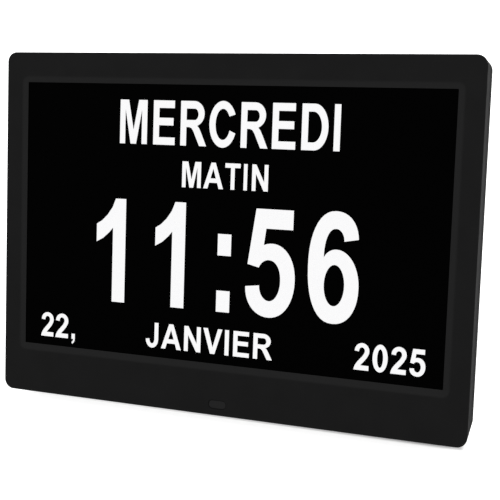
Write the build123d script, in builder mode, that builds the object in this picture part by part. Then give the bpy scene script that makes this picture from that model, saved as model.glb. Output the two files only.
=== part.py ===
import os
from math import cos, radians, sin

from build123d import *

os.makedirs("parts", exist_ok=True)

# Digital desk clock with a 10.1 inch screen, standing on its fold-out rear leg.
# Lengths are in millimetres and angles in degrees. A depth is measured from the
# front face of the case towards its back. Heights on the case are measured
# along the leaning face from the middle of the case.

# Case
lean = 15.0
case_depth = 33.0
corner_radius = 5.0
front_edge_radius = 0.6
rear_edge_radius = 2.5
wall = 2.0
cover_depth = 18.0
bezel_plate = 2.0
window_edge = 0.8
tongue_height = 2.0
tongue_wall = 1.0
tongue_gap = 0.15
tongue_root = 1.2

# Window in the bezel, the room kept round the screen, and the sloped lip
window_width = 217.6
window_height = 136.2
side_space = 4.45
bottom_space = 18.2
window_corner_radius = 0.4
lip_width = 2.8
lip_width_bottom = 3.4
lip_depth = 0.6

# Infrared window
ir_width = 9.2
ir_height = 4.2
ir_from_bottom = 5.6
ir_gap = 0.15
ir_inset = 0.2
ir_flange = 1.1
ir_flange_thickness = 1.0
ir_receiver_gap = 0.3
ir_receiver_depth = 4.4
ir_receiver_width = 6.0
ir_receiver_height = 5.0
ir_lens_radius = 1.7
ir_lens_rise = 1.25
ir_board_width = 26.0
ir_board_height = 8.0
ir_board_thickness = 1.2
ir_board_rise = 1.5
ir_screw_spacing = 19.0

# Screen stack, from front to back
gasket_thickness = 0.3
gasket_width = 3.0
gasket_clearance = 0.7
glass_thickness = 1.4
glass_overlap = 2.4
frame_wall = 3.0
film_ledge = 0.4
film_inset = 1.5
film_clearance = 0.2
diffuser_thickness = 0.5
guide_thickness = 1.4
reflector_thickness = 0.2
tray_thickness = 0.5
led_pitch = 12.0
led_width = 4.0
led_height = 0.8
led_strip_thickness = 0.6
locator_gap = 0.3
locator_width = 1.5
locator_length = 30.0
locator_depth = 4.0

# Fasteners
case_screw_radius = 1.25
case_screw_head_radius = 2.5
case_screw_head_height = 2.0
case_screw_side_inset = 10.5
case_screw_inner_x = 48.0
case_screw_well_depth = 4.0
case_screw_grip = 6.0
case_screw_hole_spare = 1.0
screw_drive_length = 3.0
screw_drive_width = 0.6
screw_drive_depth = 1.0
screw_clearance = 0.25
boss_radius = 2.8
boss_side_gap = 0.425
boss_top = 19.0
column_radius = 4.3
column_gap = 0.2
thread_gap = 0.05
small_screw_radius = 0.9
small_screw_head_radius = 1.8
small_screw_head_height = 1.2
small_screw_length = 3.0
small_boss_radius = 2.2

# Screen clamps
clamp_width = 12.0
clamp_reach = 4.0
clamp_thickness = 1.0
clamp_spacing = 80.0
clamp_boss_gap = 0.4

# Fold-out leg at the back
stand_tilt = 10.0
stand_hinge_height = 21.5
stand_width_top = 64.0
stand_width_foot = 56.0
stand_thickness = 4.0
stand_side_gap = 0.6
stand_back_inset = 0.8
stand_floor_gap = 0.4
stand_barrel_radius = 2.6
stand_heel = 3.5
stand_heel_gap = 0.3
stand_top_gap = 1.0
stand_pocket_depth = 1.6
stand_pocket_rim = 5.0
stand_rib_width = 3.0
pin_radius = 1.25
pin_gap = 0.05
pin_seat_gap = 0.02
pin_end_inset = 1.0
cheek_thickness = 6.0
foot_pad_width = 50.0
foot_pad_height = 5.0
foot_tongue_thickness = 1.6
foot_tongue_height = 3.0
foot_tongue_inset = 4.0

# Rubber feet under the case
foot_min_height = 1.2
foot_back_inset = 3.0
foot_depth = 10.0
foot_width = 26.0
foot_spacing = 170.0

# Push buttons and key board
button_count = 7
button_pitch = 14.0
button_from_top = 22.5
button_width = 9.4
button_thickness = 4.4
button_gap = 0.3
button_proud = 0.8
button_flange = 1.2
button_flange_thickness = 0.8
button_travel = 0.5
button_dimple_depth = 0.3
button_dimple_length = 4.0
button_dimple_width = 1.6
switch_size = 6.0
switch_height = 3.5
plunger_radius = 1.6
plunger_gap = 0.3
plunger_sunk = 1.0
plunger_bore_spare = 0.4
key_board_height = 13.0
key_screw_gap = 1.0
key_screw_inset = 3.0

# Boards
board_thickness = 1.6
board_stand_off = 3.0
board_height = 96.0
board_side_gap = 0.8
board_leg_gap = 5.1
board_screw_inset = 4.0
stand_off_radius = 3.0

# Ports, on the left wall
port_gap = 0.25
port_front_inset = 0.5
inlet_height = -34.0
inlet_body_width = 9.0
inlet_body_depth = 10.0
inlet_body_length = 13.0
inlet_collar_radius = 3.9
inlet_bore_radius = 2.85
inlet_bore_length = 9.5
inlet_pin_radius = 1.0
inlet_pin_length = 9.0
usb_height = -10.0
usb_width = 13.2
usb_depth = 5.8
usb_length = 14.0
usb_shell = 0.4
usb_back = 1.8
usb_tongue_width = 10.8
usb_tongue_thickness = 1.8
card_height = 18.0
card_width = 26.0
card_depth = 3.0
card_length = 27.0
card_slot_width = 24.2
card_slot_depth = 2.2
card_slot_length = 22.0

# Speaker
speaker_from_side = 38.5
speaker_from_bottom = 52.5
speaker_radius = 20.0
speaker_rim = 3.0
speaker_flange = 1.0
speaker_cone_depth = 4.0
speaker_magnet_radius = 9.0
speaker_magnet_depth = 3.5
speaker_gasket_thickness = 0.6
speaker_fence_gap = 0.3
speaker_fence_wall = 1.4
speaker_fence_height = 3.0
grille_hole_radius = 1.0
grille_pitch = 3.4
grille_rings = 4
speaker_cone_radius = 6.0
speaker_terminal_width = 4.0
speaker_terminal_length = 8.0

# Parts on the main board, each placed from the board's left or right edge and its middle
processor_from_right = 34.3
processor_y = -3.5
processor_size = 14.0
processor_height = 1.4
memory_from_right = 16.3
memory_y = 2.0
memory_width = 12.0
memory_length = 9.0
memory_height = 1.1
crystal_from_left = 27.7
crystal_y = -20.0
crystal_width = 4.6
crystal_length = 11.0
crystal_height = 3.5
inductor_from_right = 18.3
inductor_y = -34.0
inductor_size = 10.0
inductor_height = 4.5
inductor_core_radius = 4.0
inductor_groove_width = 0.8
inductor_groove_depth = 0.45
capacitor_from_left = 20.7
capacitor_y = -38.0
capacitor_pitch = 7.5
capacitor_count = 3
capacitor_radius = 3.15
capacitor_height = 8.0
connector_from_right = 16.3
connector_y = -14.0
connector_width = 26.0
connector_length = 5.0
connector_height = 2.6
cell_from_right = 18.3
cell_y = 27.0
cell_radius = 10.0
cell_height = 3.2
cell_gap = 0.1
cell_holder_wall = 1.4
cell_holder_base = 1.0
cell_notch = 8.0

# Cables between the boards
ribbon_width = 24.0
ribbon_thickness = 0.3
ribbon_end = -50.0
ribbon_turn = -8.0
cable_radius = 0.9
cable_bend = 0.45
cable_depth = 15.0
key_cable_depth = 11.0
header_width = 8.0
header_length = 4.0
header_height = 3.0
key_header_x = -46.0
key_cable_from_right = 16.3
key_cable_y = 43.5
low_cables_from_right = 8.3
speaker_cable_y = -25.0
ir_cable_y = -36.0

# Vents and keyholes in the rear cover
vent_length = 34.0
vent_width = 2.0
vent_pitch = 6.0
vent_count = 7
vent_from_side = 40.5
vent_height = 8.0
keyhole_spacing = 150.0
keyhole_from_top = 34.5
keyhole_entry_radius = 4.2
keyhole_slot_radius = 2.1
keyhole_rise = 8.0

# The case is as large as the screen module and the room round it ask for
module_border = glass_overlap + film_clearance + frame_wall
case_screw_edge_inset = wall + tongue_gap + tongue_wall + boss_side_gap + boss_radius
side_border = module_border + side_space + wall
top_border = module_border + boss_side_gap + boss_radius + case_screw_edge_inset
bottom_border = module_border + bottom_space + wall
case_width = window_width + 2 * side_border
case_height = window_height + top_border + bottom_border

# Working lines of the case
half_height = case_height / 2
half_width = case_width / 2
inner_half_width = half_width - wall
inner_half_height = half_height - wall
window_y = half_height - top_border - window_height / 2
ir_y = -half_height + ir_from_bottom
button_height = half_height - button_from_top
keyhole_height = half_height - keyhole_from_top
speaker_x = half_width - speaker_from_side
speaker_height = -half_height + speaker_from_bottom
vent_x = half_width - vent_from_side
bezel_depth = case_depth - cover_depth
rear_inner = case_depth - wall
screen_depth = window_edge + gasket_thickness

# The case leans back and rests on the rubber feet, whose soles are at height zero
lean_cos = cos(radians(lean))
lean_sin = sin(radians(lean))
face_z = (half_height + foot_min_height) * lean_cos + (case_depth - foot_back_inset) * lean_sin
hinge_depth = case_depth - stand_back_inset - stand_thickness / 2
pin_z = face_z + stand_hinge_height * lean_cos - hinge_depth * lean_sin
tilt_cos = cos(radians(stand_tilt))
tilt_sin = sin(radians(stand_tilt))
stand_drop = pin_z / tilt_cos
leg_tip_y = (
    stand_hinge_height * lean_sin
    + hinge_depth * lean_cos
    + stand_drop * tilt_sin
    + stand_thickness / 2 / tilt_cos
)
top_edge_y = (
    (half_height - rear_edge_radius) * lean_sin
    + (case_depth - rear_edge_radius) * lean_cos
    + rear_edge_radius
)
front_edge_y = -half_height * lean_sin
face_y = -(max(leg_tip_y, top_edge_y) + front_edge_y) / 2

# Directions and planes of the leaning case
up_case = Vector(0, lean_sin, lean_cos)
outward = Vector(0, -lean_cos, lean_sin)
face_centre = Vector(0, face_y, face_z)
face = Plane(origin=face_centre, x_dir=(1, 0, 0), z_dir=outward)
front_to_back = Axis(face_centre, -outward)
case_up = Axis(face_centre, up_case)


def at_depth(depth):
    """Plane parallel to the front face, at this depth inside the case."""
    return face.offset(-depth)


def side_at(x):
    """Plane across the case at this x, its first axis up the case, its second outward."""
    return Plane(origin=face_centre + Vector(x, 0, 0), x_dir=up_case, z_dir=(1, 0, 0))


pin_centre = face_centre + up_case * stand_hinge_height - outward * hinge_depth
leg = Plane(origin=pin_centre, x_dir=(1, 0, 0), z_dir=(0, -tilt_cos, -tilt_sin))
leg_side = Plane(leg.origin - leg.x_dir * stand_width_top / 2, x_dir=leg.y_dir, z_dir=leg.x_dir)

case_screw_points = [
    (x, y)
    for x in (
        -half_width + case_screw_side_inset,
        -case_screw_inner_x,
        case_screw_inner_x,
        half_width - case_screw_side_inset,
    )
    for y in (half_height - case_screw_edge_inset, -half_height + case_screw_edge_inset)
]

# Screen module: outer size and the depths of its layers
glass_width = window_width + 2 * glass_overlap
glass_height = window_height + 2 * glass_overlap
module_width = window_width + 2 * module_border
module_height = window_height + 2 * module_border
glass_back = screen_depth + glass_thickness
film_depth = glass_back + film_ledge
guide_depth = film_depth + diffuser_thickness
reflector_depth = guide_depth + guide_thickness
tray_depth = reflector_depth + reflector_thickness
module_back = tray_depth + tray_thickness
module_top = window_y + module_height / 2
module_bottom = window_y - module_height / 2

clamp_points_top = [
    (x, module_top + small_boss_radius + clamp_boss_gap) for x in (-clamp_spacing, 0, clamp_spacing)
]
clamp_points_bottom = [
    (x, module_bottom - small_boss_radius - clamp_boss_gap) for x in (-clamp_spacing, 0, clamp_spacing)
]

# Infrared receiver board, behind its window
ir_flange_back = bezel_plate + ir_flange_thickness
ir_board_depth = ir_flange_back + ir_receiver_gap + ir_receiver_depth
ir_board_y = ir_y + ir_board_rise
ir_board_points = [(-ir_screw_spacing / 2, ir_board_y), (ir_screw_spacing / 2, ir_board_y)]

# Front bezel: black moulded frame with the window, the sloped lip and the screw bosses
with BuildPart() as front_bezel:
    with BuildSketch(at_depth(0)):
        RectangleRounded(case_width, case_height, corner_radius)
    extrude(amount=-bezel_depth)
    fillet(front_bezel.faces().sort_by(front_to_back)[0].edges(), front_edge_radius)
    with BuildSketch(at_depth(bezel_plate)):
        RectangleRounded(2 * inner_half_width, 2 * inner_half_height, corner_radius - wall)
    extrude(amount=-(bezel_depth - bezel_plate), mode=Mode.SUBTRACT)
    with BuildSketch(at_depth(0)):
        with Locations((0, window_y + (lip_width - lip_width_bottom) / 2)):
            RectangleRounded(
                window_width + 2 * lip_width,
                window_height + lip_width + lip_width_bottom,
                window_corner_radius + lip_width,
            )
    with BuildSketch(at_depth(lip_depth)):
        with Locations((0, window_y)):
            RectangleRounded(window_width, window_height, window_corner_radius)
    loft(ruled=True, mode=Mode.SUBTRACT)
    with BuildSketch(at_depth(0)):
        with Locations((0, window_y)):
            RectangleRounded(window_width, window_height, window_corner_radius)
        with Locations((0, ir_y)):
            SlotOverall(ir_width + 2 * ir_gap, ir_height + 2 * ir_gap)
    extrude(amount=-bezel_plate, mode=Mode.SUBTRACT)
    # seat that lets the screen come up close behind the lip
    with BuildSketch(at_depth(window_edge)):
        with Locations((0, window_y)):
            Rectangle(module_width + 2 * locator_gap, module_height + 2 * locator_gap)
    extrude(amount=-(bezel_plate - window_edge), mode=Mode.SUBTRACT)
    with BuildSketch(at_depth(bezel_plate)):
        with Locations(*case_screw_points):
            Circle(boss_radius)
    extrude(amount=-(boss_top - bezel_plate))
    with BuildSketch(at_depth(bezel_plate)):
        with Locations(*clamp_points_top, *clamp_points_bottom):
            Circle(small_boss_radius)
    extrude(amount=-(module_back - bezel_plate))
    with BuildSketch(at_depth(bezel_plate)):
        with Locations(*ir_board_points):
            Circle(small_boss_radius)
    extrude(amount=-(ir_board_depth - bezel_plate))
    locator_x = module_width / 2 + locator_gap + locator_width / 2
    locator_y = module_height / 4
    with BuildSketch(at_depth(bezel_plate)):
        for x in (-locator_x, locator_x):
            with Locations((x, window_y - locator_y), (x, window_y + locator_y)):
                Rectangle(locator_width, locator_length)
    extrude(amount=-locator_depth)
    with BuildSketch(at_depth(boss_top)):
        with Locations(*case_screw_points):
            Circle(case_screw_radius + thread_gap)
    extrude(amount=case_screw_grip + case_screw_hole_spare, mode=Mode.SUBTRACT)
    with BuildSketch(at_depth(module_back)):
        with Locations(*clamp_points_top, *clamp_points_bottom):
            Circle(small_screw_radius + thread_gap)
    extrude(amount=small_screw_length, mode=Mode.SUBTRACT)
    with BuildSketch(at_depth(ir_board_depth)):
        with Locations(*ir_board_points):
            Circle(small_screw_radius + thread_gap)
    extrude(amount=small_screw_length, mode=Mode.SUBTRACT)
front_bezel.part.label = "front_bezel"
export_step(front_bezel.part, "parts/front_bezel.step")

# Infrared window: dark clear plug, pushed into the bezel from inside against its flange
with BuildPart() as ir_window:
    with BuildSketch(at_depth(ir_inset)):
        with Locations((0, ir_y)):
            SlotOverall(ir_width, ir_height)
    extrude(amount=-(ir_flange_back - ir_inset))
    with BuildSketch(at_depth(bezel_plate)):
        with Locations((0, ir_y)):
            SlotOverall(ir_width + 2 * ir_flange, ir_height + 2 * ir_flange)
    extrude(amount=-ir_flange_thickness)
ir_window.part.label = "ir_window"
export_step(ir_window.part, "parts/ir_window.step")

# Screen gasket: thin foam ring between the bezel and the glass
with BuildPart() as screen_gasket:
    with BuildSketch(at_depth(window_edge)):
        with Locations((0, window_y)):
            Rectangle(
                window_width + 2 * gasket_width,
                window_height + 2 * gasket_width,
            )
            Rectangle(
                window_width + 2 * gasket_clearance,
                window_height + 2 * gasket_clearance,
                mode=Mode.SUBTRACT,
            )
    extrude(amount=-gasket_thickness)
screen_gasket.part.label = "screen_gasket"
export_step(screen_gasket.part, "parts/screen_gasket.step")

# LCD glass: the two bonded panes with their polarisers
with BuildPart() as lcd_glass:
    with BuildSketch(at_depth(screen_depth)):
        with Locations((0, window_y)):
            Rectangle(glass_width, glass_height)
    extrude(amount=-glass_thickness)
lcd_glass.part.label = "lcd_glass"
export_step(lcd_glass.part, "parts/lcd_glass.step")

# Module frame: black plastic ring that seats the glass in front and the films behind
film_width = glass_width - 2 * film_inset
film_height = glass_height - 2 * film_inset
with BuildPart() as lcd_frame:
    with BuildSketch(at_depth(screen_depth)):
        with Locations((0, window_y)):
            Rectangle(module_width, module_height)
    extrude(amount=-(tray_depth - screen_depth))
    with BuildSketch(at_depth(screen_depth)):
        with Locations((0, window_y)):
            Rectangle(glass_width + 2 * film_clearance, glass_height + 2 * film_clearance)
    extrude(amount=-glass_thickness, mode=Mode.SUBTRACT)
    with BuildSketch(at_depth(glass_back)):
        with Locations((0, window_y)):
            Rectangle(window_width, window_height)
    extrude(amount=-film_ledge, mode=Mode.SUBTRACT)
    with BuildSketch(at_depth(film_depth)):
        with Locations((0, window_y)):
            Rectangle(film_width + 2 * film_clearance, film_height + 2 * film_clearance)
    extrude(amount=-(tray_depth - film_depth), mode=Mode.SUBTRACT)
lcd_frame.part.label = "lcd_frame"
export_step(lcd_frame.part, "parts/lcd_frame.step")

# Diffuser sheet: white film over the light guide
with BuildPart() as diffuser_sheet:
    with BuildSketch(at_depth(film_depth)):
        with Locations((0, window_y)):
            Rectangle(film_width, film_height)
    extrude(amount=-diffuser_thickness)
diffuser_sheet.part.label = "diffuser_sheet"
export_step(diffuser_sheet.part, "parts/diffuser_sheet.step")

# Light guide plate: clear acrylic, short at the bottom where the lamps stand
led_space = led_strip_thickness + led_height
with BuildPart() as light_guide_plate:
    with BuildSketch(at_depth(guide_depth)):
        with Locations((0, window_y + led_space / 2)):
            Rectangle(film_width, film_height - led_space)
    extrude(amount=-guide_thickness)
light_guide_plate.part.label = "light_guide_plate"
export_step(light_guide_plate.part, "parts/light_guide_plate.step")

# Reflector sheet: white film behind the light guide
with BuildPart() as reflector_sheet:
    with BuildSketch(at_depth(reflector_depth)):
        with Locations((0, window_y)):
            Rectangle(film_width, film_height)
    extrude(amount=-reflector_thickness)
reflector_sheet.part.label = "reflector_sheet"
export_step(reflector_sheet.part, "parts/reflector_sheet.step")

# Backlight strip: a narrow board along the bottom edge with a row of lamps
film_bottom = window_y - film_height / 2
led_count = int(film_width // led_pitch)
with BuildPart() as backlight_led_strip:
    with BuildSketch(at_depth(guide_depth)):
        with Locations((0, film_bottom + led_strip_thickness / 2)):
            Rectangle(film_width, led_strip_thickness)
        with Locations((0, film_bottom + led_strip_thickness + led_height / 2)):
            with GridLocations(led_pitch, 1, led_count, 1):
                Rectangle(led_width, led_height)
    extrude(amount=-guide_thickness)
backlight_led_strip.part.label = "backlight_led_strip"
export_step(backlight_led_strip.part, "parts/backlight_led_strip.step")

# Rear tray: pressed steel sheet that closes the screen module
with BuildPart() as lcd_rear_tray:
    with BuildSketch(at_depth(tray_depth)):
        with Locations((0, window_y)):
            Rectangle(module_width, module_height)
    extrude(amount=-tray_thickness)
lcd_rear_tray.part.label = "lcd_rear_tray"
export_step(lcd_rear_tray.part, "parts/lcd_rear_tray.step")

# Screen clamps: steel tabs screwed to the bezel bosses, pressing on the rear tray
clamp_length = clamp_reach + clamp_boss_gap + 2 * small_boss_radius
clamp_shift = (clamp_reach + clamp_boss_gap) / 2
with BuildPart() as screen_clamps:
    with BuildSketch(at_depth(module_back)):
        with Locations(*[(x, y - clamp_shift) for x, y in clamp_points_top]):
            Rectangle(clamp_width, clamp_length)
        with Locations(*[(x, y + clamp_shift) for x, y in clamp_points_bottom]):
            Rectangle(clamp_width, clamp_length)
        with Locations(*clamp_points_top, *clamp_points_bottom):
            Circle(small_screw_radius + thread_gap, mode=Mode.SUBTRACT)
    extrude(amount=-clamp_thickness)
screen_clamps.part.label = "screen_clamps"
export_step(screen_clamps.part, "parts/screen_clamps.step")

# Rear cover: black moulded shell with side walls, back wall and all its openings
recess_width = stand_width_top + 2 * stand_side_gap
recess_floor = hinge_depth - stand_thickness / 2 - stand_floor_gap
open_angle = radians(lean + stand_tilt)
heel_depth = stand_heel * sin(open_angle) + stand_thickness / 2 * cos(open_angle)
trough_floor = hinge_depth - heel_depth - stand_heel_gap
trough_top = stand_hinge_height + stand_heel + stand_top_gap
trough_bottom = stand_hinge_height - stand_barrel_radius - stand_heel_gap
recess_height = trough_top + half_height
recess_y = trough_top - recess_height / 2
trough_height = trough_top - trough_bottom
trough_y = (trough_top + trough_bottom) / 2
cheek_x = recess_width / 2 + cheek_thickness / 2
button_points = [
    ((i - (button_count - 1) / 2) * button_pitch, button_height) for i in range(button_count)
]
keyhole_points = [(x, keyhole_height) for x in (-keyhole_spacing / 2, keyhole_spacing / 2)]
vent_points = [
    (x, vent_height + (i - (vent_count - 1) / 2) * vent_pitch)
    for x in (-vent_x, vent_x)
    for i in range(vent_count)
]
board_left = -inner_half_width + board_side_gap
board_right = -recess_width / 2 - cheek_thickness - board_leg_gap
board_width = board_right - board_left
board_x = (board_left + board_right) / 2
board_back = rear_inner - board_stand_off
board_front = board_back - board_thickness
board_screw_points = [
    (
        board_x + side * (board_width / 2 - board_screw_inset),
        level * (board_height / 2 - board_screw_inset),
    )
    for side in (-1, 1)
    for level in (-1, 1)
]
last_flange_x = ((button_count - 1) * button_pitch + button_width) / 2 + button_flange
key_screw_x = last_flange_x + key_screw_gap + small_boss_radius
key_board_width = 2 * (key_screw_x + key_screw_inset)
flange_front = rear_inner - button_flange_thickness
switch_back = flange_front - plunger_sunk
key_board_back = switch_back - switch_height
key_board_front = key_board_back - board_thickness
key_screw_points = [(-key_screw_x, button_height), (key_screw_x, button_height)]
speaker_front = rear_inner - speaker_gasket_thickness
with BuildPart() as rear_cover:
    with BuildSketch(at_depth(bezel_depth)):
        RectangleRounded(case_width, case_height, corner_radius)
    extrude(amount=-(case_depth - bezel_depth))
    fillet(rear_cover.faces().sort_by(front_to_back)[-1].edges(), rear_edge_radius)
    tongue_outer = wall + tongue_gap
    tongue_inner = tongue_outer + tongue_wall
    with BuildSketch(at_depth(bezel_depth)):
        RectangleRounded(
            case_width - 2 * tongue_inner,
            case_height - 2 * tongue_inner,
            corner_radius - wall,
        )
    extrude(amount=-tongue_root, mode=Mode.SUBTRACT)
    with BuildSketch(at_depth(bezel_depth + tongue_root)):
        RectangleRounded(2 * inner_half_width, 2 * inner_half_height, corner_radius - wall)
    extrude(amount=-(rear_inner - bezel_depth - tongue_root), mode=Mode.SUBTRACT)
    with BuildSketch(at_depth(bezel_depth)):
        RectangleRounded(
            case_width - 2 * tongue_outer,
            case_height - 2 * tongue_outer,
            corner_radius - wall,
        )
        RectangleRounded(
            case_width - 2 * tongue_inner,
            case_height - 2 * tongue_inner,
            corner_radius - wall,
            mode=Mode.SUBTRACT,
        )
    extrude(amount=tongue_height)
    # inner walls of the leg recess and of its hinge trough
    with BuildSketch(at_depth(recess_floor - wall)):
        with Locations((0, recess_y + wall / 2)):
            Rectangle(recess_width + 2 * wall, recess_height + wall)
    extrude(amount=-(rear_inner - recess_floor + wall))
    with BuildSketch(at_depth(trough_floor - wall)):
        with Locations((0, trough_y)):
            Rectangle(recess_width + 2 * cheek_thickness, trough_height + 2 * wall)
    extrude(amount=-(rear_inner - trough_floor + wall))
    with BuildSketch(at_depth(case_depth)):
        with Locations((0, recess_y)):
            Rectangle(recess_width, recess_height)
    extrude(amount=case_depth - recess_floor, mode=Mode.SUBTRACT)
    with BuildSketch(at_depth(case_depth)):
        with Locations((0, trough_y)):
            Rectangle(recess_width, trough_height)
    extrude(amount=case_depth - trough_floor, mode=Mode.SUBTRACT)
    with BuildSketch(side_at(-cheek_x - cheek_thickness / 2)):
        with Locations((stand_hinge_height, -hinge_depth)):
            Circle(pin_radius + pin_seat_gap)
    extrude(amount=2 * cheek_x + cheek_thickness, mode=Mode.SUBTRACT)
    # screw columns with wells for the heads
    with BuildSketch(at_depth(boss_top + column_gap)):
        with Locations(*case_screw_points):
            Circle(column_radius)
    extrude(amount=-(rear_inner - boss_top - column_gap))
    with BuildSketch(at_depth(case_depth)):
        with Locations(*case_screw_points):
            Circle(case_screw_head_radius + screw_clearance)
    extrude(amount=case_screw_well_depth, mode=Mode.SUBTRACT)
    with BuildSketch(at_depth(boss_top)):
        with Locations(*case_screw_points):
            Circle(case_screw_radius + screw_clearance)
    extrude(amount=-(case_depth - boss_top), mode=Mode.SUBTRACT)
    # posts for the boards
    with BuildSketch(at_depth(board_back)):
        with Locations(*board_screw_points):
            Circle(stand_off_radius)
    extrude(amount=-board_stand_off)
    with BuildSketch(at_depth(board_back)):
        with Locations(*board_screw_points):
            Circle(small_screw_radius + thread_gap)
    extrude(amount=-board_stand_off, mode=Mode.SUBTRACT)
    with BuildSketch(at_depth(key_board_back)):
        with Locations(*key_screw_points):
            Circle(small_boss_radius)
    extrude(amount=-(rear_inner - key_board_back))
    with BuildSketch(at_depth(key_board_back)):
        with Locations(*key_screw_points):
            Circle(small_screw_radius + thread_gap)
    extrude(amount=-small_screw_length, mode=Mode.SUBTRACT)
    # fence that centres the speaker
    fence_inner = speaker_radius + speaker_fence_gap
    with BuildSketch(at_depth(rear_inner)):
        with Locations((speaker_x, speaker_height)):
            Circle(fence_inner + speaker_fence_wall)
            Circle(fence_inner, mode=Mode.SUBTRACT)
    extrude(amount=speaker_fence_height)
    # openings in the back wall
    with BuildSketch(at_depth(case_depth)):
        with Locations(*button_points):
            SlotOverall(button_width + 2 * button_gap, button_thickness + 2 * button_gap)
        with Locations(*vent_points):
            SlotOverall(vent_length, vent_width)
        with Locations(*keyhole_points):
            Circle(keyhole_entry_radius)
        with Locations(*[(x, y + keyhole_rise / 2) for x, y in keyhole_points]):
            SlotCenterToCenter(keyhole_rise, 2 * keyhole_slot_radius, rotation=90)
        with Locations((speaker_x, speaker_height)):
            Circle(grille_hole_radius)
            for ring in range(1, grille_rings + 1):
                with PolarLocations(ring * grille_pitch, 6 * ring):
                    Circle(grille_hole_radius)
    extrude(amount=wall, mode=Mode.SUBTRACT)
    # openings in the left wall
    inlet_depth = board_front - inlet_body_depth / 2
    usb_centre = board_front - usb_depth / 2
    card_centre = board_front - card_depth / 2
    with BuildSketch(side_at(-half_width)):
        with Locations((inlet_height, -inlet_depth)):
            Circle(inlet_collar_radius + port_gap)
        with Locations((usb_height, -usb_centre)):
            Rectangle(usb_width + 2 * port_gap, usb_depth + 2 * port_gap)
        with Locations((card_height, -card_centre)):
            Rectangle(card_width + 2 * port_gap, card_depth + 2 * port_gap)
    extrude(amount=wall, mode=Mode.SUBTRACT)
rear_cover.part.label = "rear_cover"
export_step(rear_cover.part, "parts/rear_cover.step")

# Case screws: eight pan heads down the wells, through the columns into the bezel bosses
screw_head_seat = case_depth - case_screw_well_depth
with BuildPart() as case_screws:
    with BuildSketch(at_depth(screw_head_seat)):
        with Locations(*case_screw_points):
            Circle(case_screw_head_radius)
    extrude(amount=-case_screw_head_height)
    with BuildSketch(at_depth(screw_head_seat)):
        with Locations(*case_screw_points):
            Circle(case_screw_radius)
    extrude(amount=screw_head_seat - boss_top + case_screw_grip)
    with BuildSketch(at_depth(screw_head_seat + case_screw_head_height)):
        with Locations(*case_screw_points):
            Rectangle(screw_drive_length, screw_drive_width)
            Rectangle(screw_drive_width, screw_drive_length)
    extrude(amount=screw_drive_depth, mode=Mode.SUBTRACT)
case_screws.part.label = "case_screws"
export_step(case_screws.part, "parts/case_screws.step")

# Rubber feet: two wedge pads under the rear edge, cut flat where they stand on the desk
with BuildPart() as rubber_feet:
    for x in (-foot_spacing / 2, foot_spacing / 2):
        with BuildSketch(side_at(x - foot_width / 2)):
            with Locations((-half_height, -(case_depth - foot_back_inset - foot_depth / 2))):
                Rectangle(foot_depth, foot_depth, align=(Align.MAX, Align.CENTER))
        extrude(amount=foot_width)
    split(bisect_by=Plane.XY, keep=Keep.TOP)
    fillet(rubber_feet.edges().filter_by(case_up), foot_min_height / 2)
rubber_feet.part.label = "rubber_feet"
export_step(rubber_feet.part, "parts/rubber_feet.step")

# Leg: moulded plate with a hinge barrel at the top and a hollow, ribbed inner side
leg_end = stand_drop - foot_pad_height
with BuildPart() as stand_leg:
    with BuildSketch(leg.offset(-stand_thickness / 2)):
        with BuildLine():
            Polyline(
                (-stand_width_top / 2, stand_heel),
                (stand_width_top / 2, stand_heel),
                (stand_width_top / 2, -stand_heel),
                (stand_width_foot / 2, -leg_end),
                (-stand_width_foot / 2, -leg_end),
                (-stand_width_top / 2, -stand_heel),
                close=True,
            )
        make_face()
    extrude(amount=stand_thickness)
    with BuildSketch(leg_side):
        Circle(stand_barrel_radius)
    extrude(amount=stand_width_top)
    # hollow between the rim and the middle rib, on the side that faces the case
    pocket_top = -stand_barrel_radius - stand_pocket_rim
    pocket_bottom = -leg_end + stand_pocket_rim
    pocket_width = stand_width_foot / 2 - stand_pocket_rim - stand_rib_width / 2
    with BuildSketch(leg.offset(stand_thickness / 2)):
        for side in (-1, 1):
            with Locations((side * (stand_rib_width + pocket_width) / 2, (pocket_top + pocket_bottom) / 2)):
                RectangleRounded(pocket_width, pocket_top - pocket_bottom, stand_rib_width)
    extrude(amount=-stand_pocket_depth, mode=Mode.SUBTRACT)
    with BuildSketch(leg.offset(-foot_tongue_thickness / 2)):
        with Locations((0, -leg_end)):
            Rectangle(
                foot_pad_width - 2 * foot_tongue_inset,
                foot_tongue_height,
                align=(Align.CENTER, Align.MAX),
            )
    extrude(amount=foot_tongue_thickness)
    with BuildSketch(leg_side):
        Circle(pin_radius + pin_gap)
    extrude(amount=stand_width_top, mode=Mode.SUBTRACT)
stand_leg.part.label = "stand_leg"
export_step(stand_leg.part, "parts/stand_leg.step")

# Hinge pin: steel rod through the cheeks of the cover and the barrel of the leg
with BuildPart() as stand_hinge_pin:
    pin_length = recess_width + 2 * (cheek_thickness - pin_end_inset)
    with BuildSketch(side_at(-pin_length / 2)):
        with Locations((stand_hinge_height, -hinge_depth)):
            Circle(pin_radius)
    extrude(amount=pin_length)
    chamfer(stand_hinge_pin.edges().filter_by(GeomType.CIRCLE), pin_radius / 4)
stand_hinge_pin.part.label = "stand_hinge_pin"
export_step(stand_hinge_pin.part, "parts/stand_hinge_pin.step")

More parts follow.
